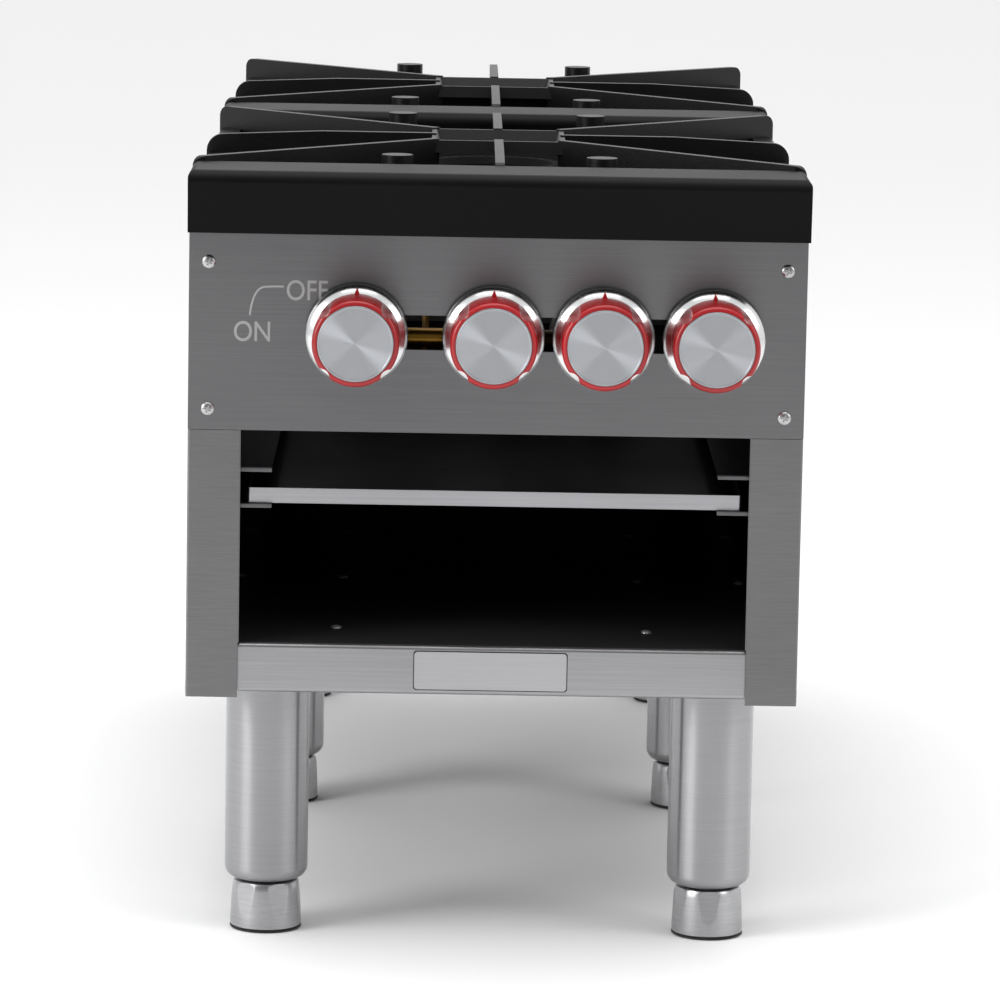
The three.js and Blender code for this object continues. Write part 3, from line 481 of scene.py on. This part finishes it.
dressNode("front_rail", "frontRail", blackEnamel, "chassis", 0.6)
dressNode("centre_rail", "centreRail", blackEnamel, "chassis", 0.6)
burner = {
    "rows": {"front": 270.5, "rear": 801.5},  # each burner's middle, back from the panel's face
    "ports": {"outer": (116, 60), "inner": (58, 30)},  # the radius of a ring of ports, and their number
    "portRadius": 1.8, "portDepth": 2.6, "edge": 0.8,
}


def drillPorts(piece, centre, radius, count, b):
    # a ring of gas ports, drilled straight down into the burner's flat top
    startClean()
    bpy.ops.mesh.primitive_cylinder_add(vertices=12, radius=b["portRadius"] / 1000,
                                        depth=2 * b["portDepth"] / 1000,
                                        location=centre + Vector((radius / 1000, 0, 0)))
    drill = bpy.context.object
    bpy.ops.object.transform_apply(location=True, rotation=True, scale=True)
    bpy.ops.object.mode_set(mode="EDIT")
    bpy.ops.mesh.select_all(action="SELECT")
    bpy.ops.mesh.spin(steps=count - 1, dupli=True, angle=wholeTurn * (count - 1) / count, center=centre,
                      axis=(0, 0, 1))
    bpy.ops.object.mode_set(mode="OBJECT")
    pick(piece)
    cutAway(piece, drill)


for row, depth in burner["rows"].items():
    dressNode(row + "_grate", row + "Grate", castIron, row + "_grate", 1.0, 2, 50)
    for ring, (radius, count) in burner["ports"].items():
        node = f"{row}_burner_{ring}"
        casting = takeNode(node)
        roundEdges(casting, burner["edge"])
        drillPorts(casting, at(0, depth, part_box(node)[1].z * 1000), radius, count, burner)
        finishPiece(casting, f"{row}Burner{ring.title()}", burnerIron, "chassis", 40,
                    (node,))
print("rails, grates and burners dressed")


# the gas line: node, new name, material and slot
gasPieces = [
    ("gas_manifold", "gasManifold", blackPipe, "black_pipe"),
    ("gas_feed_pipe", "gasFeedPipe", blackPipe, "black_pipe"),
    ("supply_tube_outer", "supplyTubeOuter", softAluminium, "aluminium"),
    ("supply_tube_inner", "supplyTubeInner", softAluminium, "aluminium"),
    ("pilot_line_front", "pilotLineFront", rawBrass, "brass"),
    ("pilot_line_rear", "pilotLineRear", darkerBrass, "brass"),
]
for number in range(1, 5):
    gasPieces.append((f"valve_{number}", f"valve{number}", rawBrass, "brass"))
for node, name, material, slot in gasPieces:
    dressNode(node, name, material, "chassis", 0.3, 1, 50)
print("gas line dressed")


# one knob is modelled at the origin and copied to each stem; in mm, and gap, wall, shoulder and
# reach are distances out from the panel's face
knob = {
    "gap": 4, "wall": 10.4, "shoulder": 16, "reach": 60, "skirtRadius": 38, "sheet": 1.2, "skirtHole": 20,
    "gripRadius": 32, "rimDrop": 1.2, "capRadius": 27.9, "capDepth": 2.8, "capSeat": 2,
    "notchRadius": 7, "notchPlace": 36, "notchAngles": (45, 135, 225, 315), "notchEnd": 62,
    "pointerMiddle": 32.8, "pointerWidth": 2.8, "pointerHeight": 3.8,
    "pointerBack": 13, "pointerDepth": 6,
}


def makeSkirt(k):
    # a pressed chrome cup: a short wall, a rounded edge and a bulged cone up to the grip
    outer, inner, top = k["skirtRadius"], k["gripRadius"], k["shoulder"]
    inside, under = outer - k["sheet"], top - k["sheet"]
    edgeRadius, edgePlace, steps = outer - 0.9, k["wall"] + 1.3, 7
    bulge = []
    for i in range(steps + 1):
        share = i / steps
        bulge.append((edgeRadius - (edgeRadius - inner) * share,
                      edgePlace + (top - edgePlace) * share ** 0.8))
    skirt = stackRings(Vector(), "front", [
        (inside, k["gap"]), (outer, k["gap"]), (outer, k["wall"]), (outer - 0.25, k["wall"] + 0.7), *bulge,
        (inner - 1, top), (k["skirtHole"], top), (k["skirtHole"], under), (inner - 1.6, under),
        (inside, k["wall"] - 0.4), (inside, k["gap"]),
    ], 96, closed=True)
    shapePiece(skirt, chromePlate, 30)
    return skirt


def makeGrip(k):
    # the red grip: a round block with four finger notches, a rounded rim and a seat for the disc
    rim, hole, outer = k["reach"] - k["rimDrop"], k["skirtHole"] - 0.4, k["gripRadius"]
    seat = k["capRadius"] + 0.3
    grip = turnSolid(Vector(), "front", [
        (hole, k["gap"] + 3), (hole, k["shoulder"] + 0.3), (outer - 0.6, k["shoulder"] + 0.3),
        (outer, k["shoulder"] + 1), (outer, rim - 3), (outer - 0.5, rim - 1.5), (outer - 1.5, rim - 0.4),
        (outer - 2.7, rim), (seat, rim), (seat, rim - k["capSeat"]),
    ], 96)
    for angle in k["notchAngles"]:
        turn = math.radians(angle)
        place = Vector((math.cos(turn), 0, math.sin(turn))) * k["notchPlace"] / 1000
        notch = turnSolid(place, "front", [
            (k["notchRadius"], k["shoulder"] - 1), (k["notchRadius"], k["notchEnd"]),
        ], 32)
        pick(grip)
        cutAway(grip, notch)
    shapePiece(grip, redPlastic, 35)
    return grip


def makeCap(k):
    # the metal disc on the grip, with a thin raised lip round its edge
    top, edge = k["reach"], k["capRadius"]
    cap = turnSolid(Vector(), "front", [
        (edge, top - k["capDepth"]), (edge, top - 0.7), (edge - 0.25, top - 0.15), (edge - 0.8, top),
        (edge - 1.3, top - 0.1), (edge - 1.6, top - 0.35), (edge - 2.0, top - 0.4),
    ], 96)
    shapePiece(cap, turnedDisc, 40)
    return cap


def makePointer(k):
    # the red tooth at the grip's top that shows how far the knob is turned
    startClean()
    bpy.ops.mesh.primitive_circle_add(
        vertices=3, radius=k["pointerHeight"] / 1000, fill_type="NGON", rotation=(math.pi / 2, 0, 0),
        location=(0, -k["pointerBack"] / 1000, k["pointerMiddle"] / 1000))
    tooth = bpy.context.object
    tooth.scale = (k["pointerWidth"] / k["pointerHeight"], 1, 1)
    bpy.ops.object.transform_apply(location=True, rotation=True, scale=True)
    bpy.ops.object.mode_set(mode="EDIT")
    bpy.ops.mesh.select_all(action="SELECT")
    forward = (0, -k["pointerDepth"] / 1000, 0)
    bpy.ops.mesh.extrude_region_move(TRANSFORM_OT_translate={"value": forward})
    bpy.ops.object.mode_set(mode="OBJECT")
    roundEdges(tooth, 0.5)
    shapePiece(tooth, redPlastic, 35)
    return tooth


knobMasters = {"Skirt": makeSkirt(knob), "Grip": makeGrip(knob), "Cap": makeCap(knob)}
pointer = makePointer(knob)
for number in range(1, 5):
    low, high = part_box(f"knob_{number}_skirt")
    centre = Vector(((low.x + high.x) / 2, panelFace, (low.z + high.z) / 2))
    for part, master in knobMasters.items():
        piece = copyPiece(master, centre)
        placePiece(piece, f"knob{number}{part}", f"knob_{number}",
                   (f"knob_{number}_{part.lower()}",))
    placePiece(copyPiece(pointer, centre), f"knob{number}Pointer", f"knob_{number}")
    stem = nodes[f"knob_{number}_stem"]
    stem.data.materials.clear()
    stem.data.materials.append(rawBrass)
for master in list(knobMasters.values()) + [pointer]:
    dropMaster(master)
print("knobs made")


# one leg, foot and pad are modelled at the origin and copied to their six places; in mm, up from
# the floor, and "end" is the radius that the tube's lower end is rolled to
leg = {"radius": 31.7, "end": 9, "plateRadius": 45, "plate": 4, "edge": 0.6, "bottom": 39, "hole": 13.5}
# profile is (radius, height) up the round body, hex the same for the corners of the wrench flats, and
# turns is how far each foot happens to be screwed round, in degrees
foot = {
    "profile": [(26.2, 1.6), (27, 2.4), (27.1, 7), (26.8, 12), (26.4, 22), (25.9, 31), (25.3, 35),
                (24.2, 36.8), (22.6, 37.6), (12.6, 37.7), (12.6, 109.5)],
    "hex": [(31.8, -1), (31.8, 5), (27.6, 38), (27.6, 111)],
    "turns": {"front_left": 6, "front_right": 30, "middle_left": 17, "middle_right": 48, "rear_left": 35,
              "rear_right": 12},
}
pad = {"radius": 27.25, "height": 1.5, "edge": 0.5}


def makeLeg(g, top):
    # a drawn tube with a top plate, rolled in at its lower end round the foot's stem
    roll, steps = [], 8
    for i in range(steps + 1):
        angle = math.radians(i * 90 / steps)
        radius = g["radius"] - g["end"] + g["end"] * math.cos(angle)
        roll.append((radius, g["bottom"] + g["end"] - g["end"] * math.sin(angle)))
    tube = stackRings(Vector(), "up", [
        (g["hole"], top), (g["plateRadius"] - g["edge"], top), (g["plateRadius"], top - g["edge"]),
        (g["plateRadius"], top - g["plate"]), (g["radius"], top - g["plate"]), *roll,
        (g["hole"], g["bottom"]), (g["hole"], top),
    ], 96, closed=True)
    shapePiece(tube, legSteel, 30)
    return tube


def makeFoot(f):
    # a levelling foot: a round bullet with six wrench flats that run out towards its base
    body = turnSolid(Vector(), "up", f["profile"], 96)
    flats = turnSolid(Vector(), "up", f["hex"], 6)
    pick(body)
    cutAway(body, flats, "INTERSECT")
    shapePiece(body, footSteel, 25)
    return body


def makePad(p):
    # the thin rubber disc that a foot stands on
    piece = turnSolid(Vector(), "up", [
        (p["radius"] - p["edge"], 0), (p["radius"], p["edge"]), (p["radius"], p["height"]),
        (p["radius"] - p["edge"], p["height"] + 0.1),
    ], 64)
    shapePiece(piece, blackRubber, 35)
    return piece


legMaster = makeLeg(leg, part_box("front_left_leg")[1].z * 1000)
footMaster = makeFoot(foot)
padMaster = makePad(pad)
for row in ("front", "middle", "rear"):
    for side in ("left", "right"):
        low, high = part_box(f"{row}_{side}_leg")
        centre = Vector(((low.x + high.x) / 2, (low.y + high.y) / 2, 0))
        placePiece(copyPiece(legMaster, centre), f"{row}{side.title()}Leg", "chassis",
                   (f"{row}_{side}_leg",))
        foothold = copyPiece(footMaster, centre)
        bpy.ops.transform.rotate(value=math.radians(foot["turns"][f"{row}_{side}"]), orient_axis="Z",
                                 center_override=centre)
        bpy.ops.object.transform_apply(location=True, rotation=True, scale=True)
        placePiece(foothold, f"{row}{side.title()}Foot", f"{row}_{side}_foot",
                   (f"{row}_{side}_foot",))
        placePiece(copyPiece(padMaster, centre), f"{row}{side.title()}Pad", f"{row}_{side}_foot")
for master in (legMaster, footMaster, padMaster):
    dropMaster(master)
print("legs made")


# slot is the cross recess's length, width and depth in mm, and turn its angle in radians
screw = {"radius": 5.1, "height": 2.4, "slot": (5.2, 1.3, 1.6), "turn": 0.4,
         "places": [(-214, 517.6), (214, 517.6), (-214, 408), (214, 408)]}
# five rivets in each inner row, back from the panel's face, and two in each outer row
rivet = {"radius": 4.2, "first": 74.7, "pitch": 224.7, "inner": (118, range(5)), "outer": (199.6, (1, 2))}


def makeScrew(s):
    # a pan head with a cross recess
    r, h = s["radius"], s["height"]
    head = turnSolid(Vector(), "front", [
        (r, -0.05), (r, 0.5), (r * 0.94, 1.1), (r * 0.75, 1.75), (r * 0.45, 2.15), (r * 0.2, h),
    ], 32)
    long, wide, deep = s["slot"]
    for turn in (s["turn"], s["turn"] + math.pi / 2):
        startClean()
        bpy.ops.mesh.primitive_cube_add(size=1, location=(0, -h / 1000, 0), rotation=(0, turn, 0),
                                        scale=(long / 1000, 2 * deep / 1000, wide / 1000))
        cutter = bpy.context.object
        pick(head)
        cutAway(head, cutter)
    shapePiece(head, screwZinc, 35)
    return head


def makeRivet(r):
    # a low domed head
    head = turnSolid(Vector(), "up", [
        (r, -0.05), (r * 0.97, 0.5), (r * 0.8, 1.2), (r * 0.5, 1.7), (r * 0.2, 1.9),
    ], 24)
    shapePiece(head, rivetSteel, 40)
    return head


screwMaster = makeScrew(screw)
for index, (x, z) in enumerate(screw["places"]):
    placePiece(copyPiece(screwMaster, at(x, 0, z)), f"panelScrew{index + 1}", "chassis")
dropMaster(screwMaster)

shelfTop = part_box("bottom_shelf")[1].z * 1000
rivetMaster = makeRivet(rivet["radius"])
spots = []
for across, rows in (rivet["inner"], rivet["outer"]):
    for side in (-1, 1):
        spots += [(side * across, rivet["first"] + row * rivet["pitch"]) for row in rows]
for index, (x, y) in enumerate(spots):
    placePiece(copyPiece(rivetMaster, at(x, y, shelfTop)), f"shelfRivet{index + 1}", "chassis")
dropMaster(rivetMaster)

# in mm; arc gives each point and the step from it to its handle, and capShare is how much of the
# font's size a capital letter takes
marks = {
    "words": [("ON", (-195.7, 459.1)), ("OFF", (-157.0, 490.2))],
    "height": 14.7, "capShare": 0.69, "narrow": 0.84, "bolder": 0.1, "lift": 0.12,
    "arc": [((-183.3, 478.3), (0.6, 9)), ((-172.6, 499.6), (7, 0.6)), ((-158.5, 500), (4, 0))],
    "line": 0.7,
}


def makeWord(word, place, m):
    # one printed word beside the first knob
    startClean()
    bpy.ops.object.text_add(location=at(place[0], 0, place[1]), rotation=(math.pi / 2, 0, 0))
    letters = bpy.context.object
    letters.data.body = word
    letters.data.size = m["height"] / 1000 / m["capShare"]
    letters.data.extrude = m["lift"] / 1000
    letters.data.offset = m["bolder"] / 1000
    letters.scale = (m["narrow"], 1, 1)
    pick(letters)
    bpy.ops.object.convert(target="MESH")
    finishPiece(bpy.context.object, word.lower() + "Mark", markPaint, "chassis", 30)


def makeArc(m):
    # the line that leads from one word to the other
    startClean()
    bpy.ops.curve.primitive_bezier_curve_add(location=(0, 0, 0))
    line = bpy.context.object
    bpy.ops.object.transform_apply(location=True, rotation=True, scale=True)
    points = line.data.splines[0].bezier_points
    points.add(len(m["arc"]) - len(points))
    for point, ((x, z), (stepX, stepZ)) in zip(points, m["arc"]):
        point.handle_left_type = "FREE"
        point.handle_right_type = "FREE"
        point.co = at(x, 0, z)
        point.handle_left = at(x - stepX, 0, z - stepZ)
        point.handle_right = at(x + stepX, 0, z + stepZ)
    line.data.bevel_depth = m["line"] / 1000
    line.data.bevel_resolution = 2
    line.data.use_fill_caps = True
    pick(line)
    bpy.ops.object.convert(target="MESH")
    arc = bpy.context.object
    bpy.ops.object.mode_set(mode="EDIT")
    bpy.ops.mesh.select_all(action="SELECT")
    bpy.ops.transform.resize(value=(1, m["lift"] / m["line"], 1), center_override=at(0, 0, 0))
    bpy.ops.object.mode_set(mode="OBJECT")
    finishPiece(arc, "arcMark", markPaint, "chassis", 50)


for word, place in marks["words"]:
    makeWord(word, place, marks)
makeArc(marks)

# in mm; a dark backing shows by its margin round the bare plate on the shelf's lip
plate = {"centre": (-0.8, 212.6), "size": (114, 28.6), "corner": 2.6, "thickness": 0.45,
         "margin": 0.7, "backing": 0.35}
lipFace = (lipFront - panelFace) * 1000
across, up = plate["centre"]
backing = cutPlate(at(across, lipFace, up), [side + 2 * plate["margin"] for side in plate["size"]],
                   plate["corner"], plate["backing"])
roundEdges(backing, 0.1, 1)
finishPiece(backing, "badgeBacking", blackRubber, "chassis", 30)
barePlate = cutPlate(at(across, lipFace - plate["backing"], up), plate["size"], plate["corner"],
                     plate["thickness"])
roundEdges(barePlate, 0.12)
finishPiece(barePlate, "bareBadgePlate", plateAluminium, "chassis", 30)
print("small parts made")


startClean()
bpy.ops.mesh.primitive_plane_add(size=40, location=(0, 0, cadLow.z - 0.0005))
floor = bpy.context.object
floor.name = "studioFloor"
floorPaint, floorShader = newMaterial("floorPaint", Roughness=0.7)
floorShader.inputs["Base Color"].default_value = colourOf("fbfbfb")
floor.data.materials.append(floorPaint)

# full and front are the tent's strength round the range and towards the camera, between from and to
# on the way there; each lamp has a name, a place, what it points at, a size in metres and its watts
studio = {
    "full": 0.97, "front": 0.25, "from": -0.92, "to": -0.5,
    "lamps": [
        ("topSoftbox", (0, -0.4, 3.2), (0, 0, 0.5), 2.4, 45),
        ("leftSoftbox", (-3.0, -2.2, 1.7), (0, -0.4, 0.4), 1.7, 64),
        ("rightSoftbox", (3.0, -2.0, 1.9), (0, -0.4, 0.4), 1.3, 17),
    ],
}


def makeWorld(s):
    # a white tent that is darker towards the camera, so that the front doesn't wash out
    world = bpy.data.worlds.new("studioWorld")
    bpy.context.scene.world = world
    world.use_nodes = True
    place = addNode(world, "TexCoord")
    split = addNode(world, "SeparateXYZ", links={"Vector": (place, "Generated")})
    glow = addNode(world, "MapRange", {"From Min": s["from"], "From Max": s["to"], "To Min": s["front"],
                                       "To Max": s["full"]}, {"Value": (split, "Y")},
                   interpolation_type="SMOOTHSTEP")
    background = world.node_tree.nodes["Background"]
    background.inputs["Color"].default_value = (1, 1, 1, 1)
    feed(world, background, "Strength", glow, "Result")


makeWorld(studio)
for name, place, target, size, power in studio["lamps"]:
    startClean()
    bpy.ops.object.light_add(type="AREA", location=place)
    lamp = bpy.context.object
    lamp.name = name
    lamp.data.size = size
    lamp.data.energy = power
    aim = Vector(target) - Vector(place)
    lamp.rotation_euler = aim.to_track_quat("-Z", "Y").to_euler()
print("stage set")
